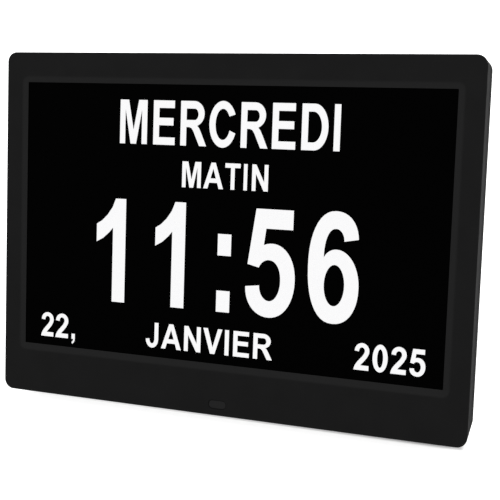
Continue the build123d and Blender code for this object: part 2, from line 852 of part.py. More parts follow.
# Leg pad: rubber shoe pushed over the tongue of the leg, its sole flat on the desk
with BuildPart() as stand_foot_pad:
    with BuildSketch(leg.offset(-stand_thickness / 2)):
        with Locations((0, -leg_end)):
            Rectangle(foot_pad_width, 2 * foot_pad_height, align=(Align.CENTER, Align.MAX))
    extrude(amount=stand_thickness)
    with BuildSketch(leg.offset(-foot_tongue_thickness / 2)):
        with Locations((0, -leg_end)):
            Rectangle(
                foot_pad_width - 2 * foot_tongue_inset,
                foot_tongue_height,
                align=(Align.CENTER, Align.MAX),
            )
    extrude(amount=foot_tongue_thickness, mode=Mode.SUBTRACT)
    split(bisect_by=Plane.XY, keep=Keep.TOP)
stand_foot_pad.part.label = "stand_foot_pad"
export_step(stand_foot_pad.part, "parts/stand_foot_pad.step")

# Push buttons: seven caps through the back wall, each with its switch plunger
button_names = ["power", "menu", "left", "up", "down", "right", "ok"]
for name, point in zip(button_names, button_points):
    with BuildPart() as push_button:
        with BuildSketch(at_depth(flange_front)):
            with Locations(point):
                SlotOverall(button_width + 2 * button_flange, button_thickness + 2 * button_flange)
        extrude(amount=-button_flange_thickness)
        with BuildSketch(at_depth(rear_inner)):
            with Locations(point):
                SlotOverall(button_width, button_thickness)
        extrude(amount=-(wall + button_proud))
        fillet(push_button.faces().sort_by(front_to_back)[-1].edges(), button_proud / 2)
        with BuildSketch(at_depth(case_depth + button_proud)):
            with Locations(point):
                SlotOverall(button_dimple_length, button_dimple_width)
        extrude(amount=button_dimple_depth, mode=Mode.SUBTRACT)
    push_button.part.label = f"{name}_button"
    export_step(push_button.part, f"parts/{name}_button.step")
    with BuildPart() as switch_plunger:
        with BuildSketch(at_depth(flange_front)):
            with Locations(point):
                Circle(plunger_radius)
        extrude(amount=2 * plunger_sunk)
    switch_plunger.part.label = f"{name}_plunger"
    export_step(switch_plunger.part, f"parts/{name}_plunger.step")

# Switch bodies: seven square tact switches soldered to the key board
with BuildPart() as key_switches:
    with BuildSketch(at_depth(key_board_back)):
        with Locations(*button_points):
            Rectangle(switch_size, switch_size)
    extrude(amount=-switch_height)
    with BuildSketch(at_depth(switch_back)):
        with Locations(*button_points):
            Circle(plunger_radius + plunger_gap)
    extrude(amount=plunger_sunk + button_travel + plunger_bore_spare, mode=Mode.SUBTRACT)
key_switches.part.label = "key_switches"
export_step(key_switches.part, "parts/key_switches.step")

# Key board: narrow circuit board on two posts behind the buttons
with BuildPart() as key_board:
    with BuildSketch(at_depth(key_board_back)):
        with Locations((0, button_height)):
            Rectangle(key_board_width, key_board_height)
        with Locations(*key_screw_points):
            Circle(small_screw_radius + thread_gap, mode=Mode.SUBTRACT)
    extrude(amount=board_thickness)
key_board.part.label = "key_board"
export_step(key_board.part, "parts/key_board.step")

# Main board: circuit board on four posts inside the back wall
with BuildPart() as main_board:
    with BuildSketch(at_depth(board_back)):
        with Locations((board_x, 0)):
            Rectangle(board_width, board_height)
        with Locations(*board_screw_points):
            Circle(small_screw_radius + thread_gap, mode=Mode.SUBTRACT)
    extrude(amount=board_thickness)
main_board.part.label = "main_board"
export_step(main_board.part, "parts/main_board.step")

# Infrared board: small board on two bezel posts behind the infrared window
with BuildPart() as ir_board:
    with BuildSketch(at_depth(ir_board_depth)):
        with Locations((0, ir_board_y)):
            Rectangle(ir_board_width, ir_board_height)
        with Locations(*ir_board_points):
            Circle(small_screw_radius + thread_gap, mode=Mode.SUBTRACT)
    extrude(amount=-ir_board_thickness)
ir_board.part.label = "ir_board"
export_step(ir_board.part, "parts/ir_board.step")

# Infrared receiver: black block with a round lens that looks out of the window
with BuildPart() as ir_receiver:
    receiver_body = ir_receiver_depth - ir_lens_rise
    with BuildSketch(at_depth(ir_board_depth)):
        with Locations((0, ir_y)):
            Rectangle(ir_receiver_width, ir_receiver_height)
    extrude(amount=receiver_body)
    with BuildSketch(at_depth(ir_board_depth - receiver_body)):
        with Locations((0, ir_y)):
            Circle(ir_lens_radius)
    extrude(amount=ir_lens_rise)
ir_receiver.part.label = "ir_receiver"
export_step(ir_receiver.part, "parts/ir_receiver.step")

# Small screws: the same pan head screw holds the clamps and all the boards
small_screw_sets = [
    (clamp_points_top + clamp_points_bottom, module_back + clamp_thickness, 1),
    (ir_board_points, ir_board_depth + ir_board_thickness, 1),
    (board_screw_points, board_front, -1),
    (key_screw_points, key_board_front, -1),
]
with BuildPart() as small_screws:
    for points, seat, side in small_screw_sets:
        with BuildSketch(at_depth(seat)):
            with Locations(*points):
                Circle(small_screw_head_radius)
        extrude(amount=-side * small_screw_head_height)
        with BuildSketch(at_depth(seat)):
            with Locations(*points):
                Circle(small_screw_radius)
        extrude(amount=side * small_screw_length)
small_screws.part.label = "small_screws"
export_step(small_screws.part, "parts/small_screws.step")

# Parts soldered to the main board, on the side that faces the screen
with BuildPart() as main_processor:
    with BuildSketch(at_depth(board_front)):
        with Locations((board_right - processor_from_right, processor_y)):
            Rectangle(processor_size, processor_size)
    extrude(amount=processor_height)
    chamfer(main_processor.faces().sort_by(front_to_back)[0].edges(), processor_height / 5)
main_processor.part.label = "main_processor"
export_step(main_processor.part, "parts/main_processor.step")

with BuildPart() as memory_chip:
    with BuildSketch(at_depth(board_front)):
        with Locations((board_right - memory_from_right, memory_y)):
            Rectangle(memory_width, memory_length)
    extrude(amount=memory_height)
    chamfer(memory_chip.faces().sort_by(front_to_back)[0].edges(), memory_height / 5)
memory_chip.part.label = "memory_chip"
export_step(memory_chip.part, "parts/memory_chip.step")

with BuildPart() as clock_crystal:
    with BuildSketch(at_depth(board_front)):
        with Locations((board_left + crystal_from_left, crystal_y)):
            SlotOverall(crystal_length, crystal_width)
    extrude(amount=crystal_height)
    fillet(clock_crystal.faces().sort_by(front_to_back)[0].edges(), crystal_height / 6)
clock_crystal.part.label = "clock_crystal"
export_step(clock_crystal.part, "parts/clock_crystal.step")

inductor_point = (board_right - inductor_from_right, inductor_y)
with BuildPart() as power_inductor:
    with BuildSketch(at_depth(board_front)):
        with Locations(inductor_point):
            RectangleRounded(inductor_size, inductor_size, inductor_size / 5)
    extrude(amount=inductor_height)
    with BuildSketch(at_depth(board_front - inductor_height)):
        with Locations(inductor_point):
            Circle(inductor_core_radius)
            Circle(inductor_core_radius - inductor_groove_width, mode=Mode.SUBTRACT)
    extrude(amount=-inductor_groove_depth, mode=Mode.SUBTRACT)
power_inductor.part.label = "power_inductor"
export_step(power_inductor.part, "parts/power_inductor.step")

# Capacitors: a row of round cans
capacitor_points = [
    (board_left + capacitor_from_left + i * capacitor_pitch, capacitor_y) for i in range(capacitor_count)
]
with BuildPart() as power_capacitors:
    with BuildSketch(at_depth(board_front)):
        with Locations(*capacitor_points):
            Circle(capacitor_radius)
    extrude(amount=capacitor_height)
    fillet(
        power_capacitors.edges().filter_by(GeomType.CIRCLE).group_by(front_to_back)[0],
        capacitor_radius / 6,
    )
power_capacitors.part.label = "power_capacitors"
export_step(power_capacitors.part, "parts/power_capacitors.step")

# Screen connector: slotted bar that the ribbon plugs onto
with BuildPart() as lcd_connector:
    with BuildSketch(at_depth(board_front)):
        with Locations((board_right - connector_from_right, connector_y)):
            Rectangle(connector_width, connector_length)
    extrude(amount=connector_height)
lcd_connector.part.label = "lcd_connector"
export_step(lcd_connector.part, "parts/lcd_connector.step")

# Coin cell and its round holder, which keep the time when the power is off
cell_x = board_right - cell_from_right
with BuildPart() as coin_cell_holder:
    holder_radius = cell_radius + cell_gap + cell_holder_wall
    with BuildSketch(at_depth(board_front)):
        with Locations((cell_x, cell_y)):
            Circle(holder_radius)
    extrude(amount=cell_holder_base + cell_height)
    with BuildSketch(at_depth(board_front - cell_holder_base)):
        with Locations((cell_x, cell_y)):
            Circle(cell_radius + cell_gap)
        with Locations((cell_x + holder_radius, cell_y)):
            Rectangle(cell_notch, cell_notch)
    extrude(amount=cell_height, mode=Mode.SUBTRACT)
coin_cell_holder.part.label = "coin_cell_holder"
export_step(coin_cell_holder.part, "parts/coin_cell_holder.step")

with BuildPart() as coin_cell:
    with BuildSketch(at_depth(board_front - cell_holder_base)):
        with Locations((cell_x, cell_y)):
            Circle(cell_radius)
    extrude(amount=cell_height)
    chamfer(
        coin_cell.edges().filter_by(GeomType.CIRCLE).group_by(front_to_back)[0],
        cell_height / 8,
    )
coin_cell.part.label = "coin_cell"
export_step(coin_cell.part, "parts/coin_cell.step")

# Power inlet: black body on the board, its round socket through the left wall
port_face = -half_width + port_front_inset
body_face = -inner_half_width + port_gap
with BuildPart() as power_inlet:
    with BuildSketch(side_at(body_face)):
        with Locations((inlet_height, -inlet_depth)):
            Rectangle(inlet_body_width, inlet_body_depth)
    extrude(amount=inlet_body_length)
    with BuildSketch(side_at(port_face)):
        with Locations((inlet_height, -inlet_depth)):
            Circle(inlet_collar_radius)
    extrude(amount=body_face - port_face)
    with BuildSketch(side_at(port_face)):
        with Locations((inlet_height, -inlet_depth)):
            Circle(inlet_bore_radius)
            Circle(inlet_pin_radius, mode=Mode.SUBTRACT)
    extrude(amount=inlet_bore_length, mode=Mode.SUBTRACT)
    with BuildSketch(side_at(port_face)):
        with Locations((inlet_height, -inlet_depth)):
            Circle(inlet_pin_radius)
    extrude(amount=inlet_bore_length - inlet_pin_length, mode=Mode.SUBTRACT)
power_inlet.part.label = "power_inlet"
export_step(power_inlet.part, "parts/power_inlet.step")

# USB port: folded steel shell with a plastic tongue
with BuildPart() as usb_port:
    with BuildSketch(side_at(port_face)):
        with Locations((usb_height, -usb_centre)):
            Rectangle(usb_width, usb_depth)
    extrude(amount=usb_length)
    with BuildSketch(side_at(port_face)):
        with Locations((usb_height, -usb_centre)):
            Rectangle(usb_width - 2 * usb_shell, usb_depth - 2 * usb_shell)
        with Locations((usb_height, -usb_centre - usb_tongue_thickness / 2)):
            Rectangle(usb_tongue_width, usb_tongue_thickness, mode=Mode.SUBTRACT)
    extrude(amount=usb_length - usb_back, mode=Mode.SUBTRACT)
usb_port.part.label = "usb_port"
export_step(usb_port.part, "parts/usb_port.step")

# Card slot: flat steel cage, open at the left wall
with BuildPart() as card_slot:
    with BuildSketch(side_at(port_face)):
        with Locations((card_height, -card_centre)):
            Rectangle(card_width, card_depth)
    extrude(amount=card_length)
    with BuildSketch(side_at(port_face)):
        with Locations((card_height, -card_centre)):
            Rectangle(card_slot_width, card_slot_depth)
    extrude(amount=card_slot_length, mode=Mode.SUBTRACT)
card_slot.part.label = "card_slot"
export_step(card_slot.part, "parts/card_slot.step")

# Speaker: round basket with its magnet, sounding through the grille
speaker_centre = face_centre + Vector(speaker_x, 0, 0) + up_case * speaker_height
speaker_axis = Axis(speaker_centre, -outward)
flange_depth = speaker_front - speaker_flange
cone_back = flange_depth - speaker_cone_depth
magnet_back = cone_back - speaker_magnet_depth
cone_front = cone_back + speaker_flange
rim_inner = speaker_radius - speaker_rim
with BuildPart() as speaker:
    with BuildSketch(Plane(origin=speaker_centre, x_dir=(1, 0, 0), z_dir=up_case)):
        with BuildLine():
            Polyline(
                (0, magnet_back),
                (speaker_magnet_radius, magnet_back),
                (speaker_magnet_radius, cone_back),
                (rim_inner, flange_depth),
                (speaker_radius, flange_depth),
                (speaker_radius, speaker_front),
                (rim_inner, speaker_front),
                (speaker_cone_radius, cone_front),
                (0, cone_front),
                close=True,
            )
        make_face()
    revolve(axis=speaker_axis)
    terminal_x = speaker_x - (speaker_magnet_radius + rim_inner) / 2
    terminal_top = cone_back - speaker_flange / 2
    with BuildSketch(at_depth(flange_depth - speaker_flange)):
        with Locations((terminal_x, speaker_height)):
            Rectangle(speaker_terminal_width, speaker_terminal_length)
    extrude(amount=flange_depth - speaker_flange - terminal_top)
speaker.part.label = "speaker"
export_step(speaker.part, "parts/speaker.step")

# Speaker gasket: foam ring between the speaker and the back wall
with BuildPart() as speaker_gasket:
    with BuildSketch(at_depth(rear_inner)):
        with Locations((speaker_x, speaker_height)):
            Circle(speaker_radius)
            Circle(rim_inner, mode=Mode.SUBTRACT)
    extrude(amount=speaker_gasket_thickness)
speaker_gasket.part.label = "speaker_gasket"
export_step(speaker_gasket.part, "parts/speaker_gasket.step")

# Cable headers: small plugs where the round cables meet the boards
key_cable_end = (board_right - key_cable_from_right, key_cable_y)
speaker_cable_end = (board_right - low_cables_from_right, speaker_cable_y)
ir_cable_end = (board_right - low_cables_from_right, ir_cable_y)
with BuildPart() as cable_headers:
    with BuildSketch(at_depth(board_front)):
        with Locations(key_cable_end, speaker_cable_end, ir_cable_end):
            Rectangle(header_width, header_length)
    extrude(amount=header_height)
    with BuildSketch(at_depth(key_board_front)):
        with Locations((key_header_x, button_height)):
            Rectangle(header_length, header_width)
    extrude(amount=header_height)
cable_headers.part.label = "cable_headers"
export_step(cable_headers.part, "parts/cable_headers.step")

# Screen ribbon: flat cable from the screen's tray, turned back to the connector
tray_run = module_back + ribbon_thickness / 2
connector_run = board_front - connector_height - ribbon_thickness / 2
ribbon_x = board_right - connector_from_right
with BuildPart() as lcd_ribbon_cable:
    with BuildSketch(side_at(ribbon_x - ribbon_width / 2)):
        with BuildLine():
            Line((ribbon_end, -tray_run), (ribbon_turn, -tray_run))
            TangentArc((ribbon_turn, -tray_run), (ribbon_turn, -connector_run), tangent=(1, 0))
            Line((ribbon_turn, -connector_run), (connector_y - connector_length / 2, -connector_run))
        trace(line_width=ribbon_thickness)
    extrude(amount=ribbon_width)
lcd_ribbon_cable.part.label = "lcd_ribbon_cable"
export_step(lcd_ribbon_cable.part, "parts/lcd_ribbon_cable.step")


# Round cables: each rises from its board, crosses over and drops into its header
def build_cable(name, start, end, crossing_depth):
    """Cable from start to end, each a case point with its depth, along a deeper crossing."""
    stops = [start, (start[0], start[1], crossing_depth), (end[0], end[1], crossing_depth), end]
    points = [face_centre + Vector(x, 0, 0) + up_case * y - outward * depth for x, y, depth in stops]
    bends = [cable_bend * abs(stop[2] - crossing_depth) for stop in (start, end)]
    with BuildPart() as cable:
        with BuildLine() as route:
            FilletPolyline(*points, radius=bends)
        with BuildSketch(Plane(origin=points[0], z_dir=outward)):
            Circle(cable_radius)
        sweep(path=route.line)
    cable.part.label = name
    export_step(cable.part, f"parts/{name}.step")


main_header_top = board_front - header_height
build_cable(
    "key_cable",
    (key_header_x, button_height, key_board_front - header_height),
    (*key_cable_end, main_header_top),
    key_cable_depth,
)
build_cable(
    "speaker_cable",
    (terminal_x, speaker_height, terminal_top),
    (*speaker_cable_end, main_header_top),
    cable_depth,
)
build_cable(
    "ir_cable",
    (0, ir_board_y, ir_board_depth + ir_board_thickness),
    (*ir_cable_end, main_header_top),
    cable_depth,
)
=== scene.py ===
from math import copysign, cos, radians, sin

import bpy
from mathutils import Matrix, Vector


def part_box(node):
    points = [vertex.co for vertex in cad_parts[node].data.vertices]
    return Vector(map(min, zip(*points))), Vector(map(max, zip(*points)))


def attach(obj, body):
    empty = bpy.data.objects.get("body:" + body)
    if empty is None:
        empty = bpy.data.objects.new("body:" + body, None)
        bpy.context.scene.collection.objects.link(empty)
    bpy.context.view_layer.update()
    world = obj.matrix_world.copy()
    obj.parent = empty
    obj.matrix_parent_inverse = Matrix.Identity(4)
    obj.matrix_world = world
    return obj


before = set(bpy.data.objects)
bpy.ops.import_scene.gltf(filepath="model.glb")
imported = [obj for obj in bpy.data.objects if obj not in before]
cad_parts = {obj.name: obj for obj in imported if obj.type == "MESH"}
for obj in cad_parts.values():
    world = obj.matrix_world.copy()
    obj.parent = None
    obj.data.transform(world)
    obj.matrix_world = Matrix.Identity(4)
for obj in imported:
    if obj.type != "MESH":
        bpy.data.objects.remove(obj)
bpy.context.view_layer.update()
bpy.ops.object.select_all(action="DESELECT")

# The studio: a white room, pure white to the camera and in reflections, with one large soft lamp
# high on the left, a weaker one on the right and one behind. The camera stands to the right of
# the clock and a little above it, as in the photograph.
camera_place = (0.15042, -0.40808, 0.25064)
camera_turn = (radians(70.627), radians(2.781), radians(18.130))
bpy.ops.object.camera_add(location=camera_place, rotation=camera_turn)
camera = bpy.context.object
camera.name = "photo_camera"
camera.data.sensor_width = 36
camera.data.lens = 66.37
camera.data.shift_y = -0.0622
bpy.context.scene.camera = camera
bpy.context.scene.view_settings.view_transform = "Standard"

pure_white = (1, 1, 1, 1)
room_glow = 0.75
seen_glow = 1.0
world = bpy.data.worlds.new("white_room")
bpy.context.scene.world = world
world.use_nodes = True
room_nodes, room_links = world.node_tree.nodes, world.node_tree.links
room_light = room_nodes["Background"]
room_light.inputs["Color"].default_value = pure_white
room_light.inputs["Strength"].default_value = room_glow
room_seen = room_nodes.new("ShaderNodeBackground")
room_seen.inputs["Color"].default_value = pure_white
room_seen.inputs["Strength"].default_value = seen_glow
room_ray = room_nodes.new("ShaderNodeLightPath")
room_clear = room_ray.outputs["Is Camera Ray"]
for kind_of_ray in ("Is Glossy Ray", "Is Transmission Ray"):
    either = room_nodes.new("ShaderNodeMath")
    either.operation = "MAXIMUM"
    room_links.new(room_clear, either.inputs[0])
    room_links.new(room_ray.outputs[kind_of_ray], either.inputs[1])
    room_clear = either.outputs[0]
room_mix = room_nodes.new("ShaderNodeMixShader")
room_links.new(room_clear, room_mix.inputs["Fac"])
room_links.new(room_light.outputs[0], room_mix.inputs[1])
room_links.new(room_seen.outputs[0], room_mix.inputs[2])
room_links.new(room_mix.outputs[0], room_nodes["World Output"].inputs["Surface"])

lamp_target = Vector((0, 0, 0.09))


def soft_lamp(name, place, size, power):
    """A square soft box at a place, which looks at the clock."""
    bpy.ops.object.light_add(type="AREA", location=place)
    lamp = bpy.context.object
    lamp.name = name
    lamp.data.size = size
    lamp.data.energy = power
    lamp.rotation_euler = (lamp_target - Vector(place)).to_track_quat("-Z", "Y").to_euler()


soft_lamp("soft_box_left", place=(-1.4, -1.5, 1.9), size=1.5, power=12.5)
soft_lamp("soft_box_right", place=(1.1, -0.2, 0.7), size=0.7, power=3.0)
soft_lamp("soft_box_back", place=(-0.5, 1.2, 0.9), size=0.9, power=8.0)

# The floor glows for the camera so that it looks white. In a fixed strip under the leaning case the
# glow is held back as a painted shadow, whose edge fades over a few millimetres. It also catches the
# clock's real shadow everywhere.
floor_size = 12
floor_drop = 0.0002
floor_glow = 0.87
shade_glow = 0.22
shade_fade = 0.0025
shade_middle = (0, -0.0165, 0)
shade_half = (0.117, 0.008, 1)
shade_turn = radians(0.5)
bpy.ops.mesh.primitive_plane_add(size=floor_size, location=(0, 0, -floor_drop))
floor = bpy.context.object
floor.name = "studio_floor"


def shader_of(finish):
    """The shader of a finish."""
    return finish.node_tree.nodes["Principled BSDF"]


def past_block(finish, place, middle, half_size):
    """A node output: how far a place lies outside a block of a middle and half a size."""
    reached = place
    for operation, amount in (
        ("SUBTRACT", middle),
        ("ABSOLUTE", (0, 0, 0)),
        ("SUBTRACT", half_size),
        ("MAXIMUM", (0, 0, 0)),
        ("LENGTH", (0, 0, 0)),
    ):
        step = finish.node_tree.nodes.new("ShaderNodeVectorMath")
        step.operation = operation
        step.inputs[1].default_value = amount
        finish.node_tree.links.new(reached, step.inputs[0])
        reached = step.outputs["Value" if operation == "LENGTH" else "Vector"]
    return reached


floor_finish = bpy.data.materials.new("studio_floor_white")
floor_finish.use_nodes = True
floor_nodes, floor_links = floor_finish.node_tree.nodes, floor_finish.node_tree.links
floor_shader = shader_of(floor_finish)
floor_shader.inputs["Base Color"].default_value = (0.8, 0.8, 0.8, 1)
floor_shader.inputs["Roughness"].default_value = 1.0
floor_shader.inputs["Specular IOR Level"].default_value = 0.0
floor_shader.inputs["Emission Color"].default_value = pure_white
floor_place = floor_nodes.new("ShaderNodeTexCoord")
# Painted shadow: a strip under the case, turned half a degree, where the camera glow drops to
# shade_glow.
floor_turn = floor_nodes.new("ShaderNodeMapping")
floor_turn.inputs["Rotation"].default_value = (0, 0, shade_turn)
floor_links.new(floor_place.outputs["Object"], floor_turn.inputs["Vector"])
floor_open = past_block(floor_finish, floor_turn.outputs["Vector"], shade_middle, shade_half)
floor_level = floor_nodes.new("ShaderNodeMapRange")
floor_level.inputs["From Max"].default_value = shade_fade
floor_level.inputs["To Min"].default_value = shade_glow
floor_level.inputs["To Max"].default_value = floor_glow
floor_ray = floor_nodes.new("ShaderNodeLightPath")
floor_lift = floor_nodes.new("ShaderNodeMath")
floor_lift.operation = "MULTIPLY"
floor_links.new(floor_open, floor_level.inputs["Value"])
floor_links.new(floor_level.outputs["Result"], floor_lift.inputs[0])
floor_links.new(floor_ray.outputs["Is Camera Ray"], floor_lift.inputs[1])
floor_links.new(floor_lift.outputs[0], floor_shader.inputs["Emission Strength"])
floor.data.materials.append(floor_finish)

# Where the case stands: it leans back on the desk, so its pieces are drawn flat, in millimetres
# about the middle of the screen, and then laid on the leaning face.
lean = radians(15)
upright = radians(90)
mm = 0.001
sideways = Vector((1, 0, 0))
up_face = Vector((0, sin(lean), cos(lean)))
outward = Vector((0, -cos(lean), sin(lean)))
glass_low, glass_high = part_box("lcd_glass")
glass_thickness = 1.4 * mm
screen_middle = (glass_low + glass_high) / 2 + outward * glass_thickness / 2
on_screen = Matrix.Translation(screen_middle) @ Matrix.Rotation(upright - lean, 4, "X")


def reach(name, along):
    """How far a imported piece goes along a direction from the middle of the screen, in millimetres."""
    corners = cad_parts[name].data.vertices
    places = [along.dot(corner.co - screen_middle) / mm for corner in corners]
    return min(places), max(places)


def middle_of(name):
    """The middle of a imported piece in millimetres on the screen: to the right, up and outward."""
    return [sum(reach(name, along)) / 2 for along in (sideways, up_face, outward)]


# Front bezel: one black ABS moulding with a fine spark-eroded grain, which holds the screen
# in its window. Its lip slopes down to the glass and is painted a lighter black, a painted highlight
# for the light on that slope. Screws from behind hold it to the rear cover, and a narrow groove runs
# round the case where the two meet, a sunk bump with painted shade along it.
patches_per_metre = 90
patch_detail = 4
patch_low = 0.3
patch_high = 0.7
gloss_spread = 0.05
pit_detail = 3
pit_strength = 0.35


def moulded(
    name, colour, roughness, specular, grain, depth, patchiness=0.06, drawn=1.0, metal=0.0
):
    """A finish with slightly uneven colour and gloss, and pits of a grain and depth in millimetres.

    The pits are stretched sideways where drawn is small, as on rolled metal."""
    finish = bpy.data.materials.new(name)
    finish.use_nodes = True
    nodes, links = finish.node_tree.nodes, finish.node_tree.links
    shader = shader_of(finish)
    shader.inputs["Specular IOR Level"].default_value = specular
    shader.inputs["Metallic"].default_value = metal
    place = nodes.new("ShaderNodeTexCoord")
    patches = nodes.new("ShaderNodeTexNoise")
    patches.inputs["Scale"].default_value = patches_per_metre
    patches.inputs["Detail"].default_value = patch_detail
    shade = nodes.new("ShaderNodeValToRGB")
    shade.color_ramp.elements[0].position = patch_low
    shade.color_ramp.elements[0].color = (*[c * (1 - patchiness) for c in colour], 1)
    shade.color_ramp.elements[1].position = patch_high
    shade.color_ramp.elements[1].color = (*[c * (1 + patchiness) for c in colour], 1)
    gloss = nodes.new("ShaderNodeMapRange")
    gloss.inputs["To Min"].default_value = roughness - gloss_spread
    gloss.inputs["To Max"].default_value = roughness + gloss_spread
    lay = nodes.new("ShaderNodeMapping")
    lay.inputs["Scale"].default_value = (drawn, 1, 1)
    pits = nodes.new("ShaderNodeTexNoise")
    pits.inputs["Scale"].default_value = 1 / (grain * mm)
    pits.inputs["Detail"].default_value = pit_detail
    bump = nodes.new("ShaderNodeBump")
    bump.inputs["Strength"].default_value = pit_strength
    bump.inputs["Distance"].default_value = depth * mm
    links.new(place.outputs["Object"], patches.inputs["Vector"])
    links.new(place.outputs["Object"], lay.inputs["Vector"])
    links.new(lay.outputs["Vector"], pits.inputs["Vector"])
    links.new(patches.outputs["Fac"], shade.inputs["Fac"])
    links.new(patches.outputs["Fac"], gloss.inputs["Value"])
    links.new(shade.outputs["Color"], shader.inputs["Base Color"])
    links.new(gloss.outputs["Result"], shader.inputs["Roughness"])
    links.new(pits.outputs["Fac"], bump.inputs["Height"])
    links.new(bump.outputs["Normal"], shader.inputs["Normal"])
    return finish


def dress(finish, *names):
    """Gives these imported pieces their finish."""
    for name in names:
        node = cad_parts[name]
        if not node.material_slots:
            node.data.materials.append(finish)
        for place in node.material_slots:
            place.material = finish


def on_case(finish):
    """A node output: where a point lies about the middle of the screen, in millimetres."""
    place = finish.node_tree.nodes.new("ShaderNodeTexCoord")
    flat = finish.node_tree.nodes.new("ShaderNodeMapping")
    flat.inputs["Scale"].default_value = (1 / mm, 1 / mm, 1 / mm)
    flat.inputs["Rotation"].default_value = (lean - upright, 0, 0)
    flat.inputs["Location"].default_value = on_screen.inverted().translation / mm
    finish.node_tree.links.new(place.outputs["Object"], flat.inputs["Vector"])
    return flat.outputs["Vector"]


def outside(finish, middle, half_size, corner=0.0):
    """A node output in millimetres: how far a point of the piece lies outside a rounded block.

    The block lies square to the screen, and an endless half size runs right through the piece."""
    core = [half - corner for half in half_size]
    reached = past_block(finish, on_case(finish), middle, core)
    rounded = finish.node_tree.nodes.new("ShaderNodeMath")
    rounded.operation = "SUBTRACT"
    rounded.inputs[1].default_value = corner
    finish.node_tree.links.new(reached, rounded.inputs[0])
    return rounded.outputs[0]


def coat(finish, share, colour):
    """Lays a colour over a finish, as far as a node output says from 0 to 1."""
    shader = shader_of(finish)
    layer = finish.node_tree.nodes.new("ShaderNodeMixRGB")
    layer.inputs["Color2"].default_value = (*colour, 1)
    under = shader.inputs["Base Color"].links[0].from_socket
    finish.node_tree.links.new(under, layer.inputs["Color1"])
    finish.node_tree.links.new(share, layer.inputs["Fac"])
    finish.node_tree.links.new(layer.outputs["Color"], shader.inputs["Base Color"])


endless = 1000.0
edge_fade = 0.1


def tint(finish, distance, colour, near=0.0, far=edge_fade, metal=False, sunk=0.0):
    """Lays a colour where a distance is under near, fading until far, as bare metal or sunk in."""
    nodes, links = finish.node_tree.nodes, finish.node_tree.links
    shader = shader_of(finish)
    fade = nodes.new("ShaderNodeMapRange")
    fade.inputs["From Min"].default_value = near
    fade.inputs["From Max"].default_value = far
    fade.inputs["To Min"].default_value = 1.0
    fade.inputs["To Max"].default_value = 0.0
    links.new(distance, fade.inputs["Value"])
    coat(finish, fade.outputs["Result"], colour)
    if metal:
        links.new(fade.outputs["Result"], shader.inputs["Metallic"])
    if sunk:
        bump = shader.inputs["Normal"].links[0].from_node
        groove = nodes.new("ShaderNodeMath")
        groove.operation = "MULTIPLY_ADD"
        groove.inputs[1].default_value = -sunk
        links.new(fade.outputs["Result"], groove.inputs[0])
        links.new(bump.inputs["Height"].links[0].from_socket, groove.inputs[2])
        links.new(groove.outputs[0], bump.inputs["Height"])


case_finish = moulded(
    "case_black", colour=(0.0109, 0.0109, 0.011), roughness=0.55, specular=0.02, grain=0.35,
    depth=0.03,
)
# Painted highlight: the sloping lip round the window is coloured lighter for the light it catches.
lip_highlight_middle = (0, -0.3, 0)
lip_highlight_half = (111.6, 71.2, endless)
lip_highlight_corner = 3.2
lip_highlight = outside(case_finish, lip_highlight_middle, lip_highlight_half, lip_highlight_corner)
tint(case_finish, lip_highlight, colour=(0.0165, 0.0165, 0.0166), near=-0.6, far=0.7)
# Painted shade: the seam is darkened to a near-black line for the shade in its groove, which is only a
# sunk bump.
seam_middle = (0, 0, -13.9)
seam_half = (endless, endless, 0)
seam_groove = 0.2
seam_shadow = 0.45
seam_shade_colour = (0.0012, 0.0012, 0.0012)
bezel_seam = outside(case_finish, seam_middle, seam_half)
tint(case_finish, bezel_seam, seam_shade_colour, seam_groove, seam_shadow, sunk=8)
dress(case_finish, "front_bezel")

# Infrared window: a plug of dark clear acrylic pushed into the bezel from inside, through which
# the remote control is seen by the receiver behind it. Its edge is painted darker, as painted shade
# from its hole.
window_finish = moulded(
    "window_dark", colour=(0.0122, 0.0122, 0.0124), roughness=0.2, specular=0.1, grain=4, depth=0.004,
    patchiness=0.02,
)
window_core_half = (4.1, 1.6, endless)
window_core_corner = 1.6
window_middle = middle_of("ir_window")
window_core = outside(window_finish, window_middle, window_core_half, window_core_corner)
# Painted shade: the rim of the plug outside its lighter core is coloured darker.
tint(window_finish, window_core, colour=(0.004, 0.004, 0.004), near=0.4, far=0.1)
dress(window_finish, "ir_window")

# Gaskets: a thin ring of black foam between the bezel and the glass, and one round the speaker,
# both stuck on.
foam_finish = moulded(
    "foam_black", colour=(0.012, 0.012, 0.012), roughness=0.95, specular=0.1, grain=0.6, depth=0.1,
    patchiness=0.25,
)
dress(foam_finish, "screen_gasket", "speaker_gasket")

# Screen: two bonded panes of glass with an anti-glare polariser, black where no pixel is lit.
# Its frame behind is moulded in plain black plastic, and so is the holder of the coin cell.
glass_finish = moulded(
    "screen_glass", colour=(0.0002, 0.0002, 0.0002), roughness=0.22, specular=0.008, grain=1.2,
    depth=0.002, patchiness=0.02,
)
dress(glass_finish, "lcd_glass")
inner_finish = moulded(
    "inner_black", colour=(0.016, 0.016, 0.017), roughness=0.6, specular=0.3, grain=0.8, depth=0.03
)
dress(inner_finish, "lcd_frame", "coin_cell_holder")

# Readout: the pixels of the screen that are lit, which form upright bold letters and figures
# with a weekday on top, the part of the day, the time and the date. Each word is its own piece.
# A full ring of points stops one step short of its start.
arc_step = radians(8)
full_ring = (0, 352)


def sweep_arc(centre_x, centre_y, radius_x, radius_y, start, end, fullness=2.0):
    """Points along part of an ellipse between two angles in degrees, squarer with fullness over 2."""
    start, end = radians(start), radians(end)
    steps = max(2, round(abs(end - start) / arc_step))
    angles = [start + (end - start) * i / steps for i in range(steps + 1)]
    return [
        (
            centre_x + radius_x * copysign(abs(cos(a)) ** (2 / fullness), cos(a)),
            centre_y + radius_y * copysign(abs(sin(a)) ** (2 / fullness), sin(a)),
        )
        for a in angles
    ]


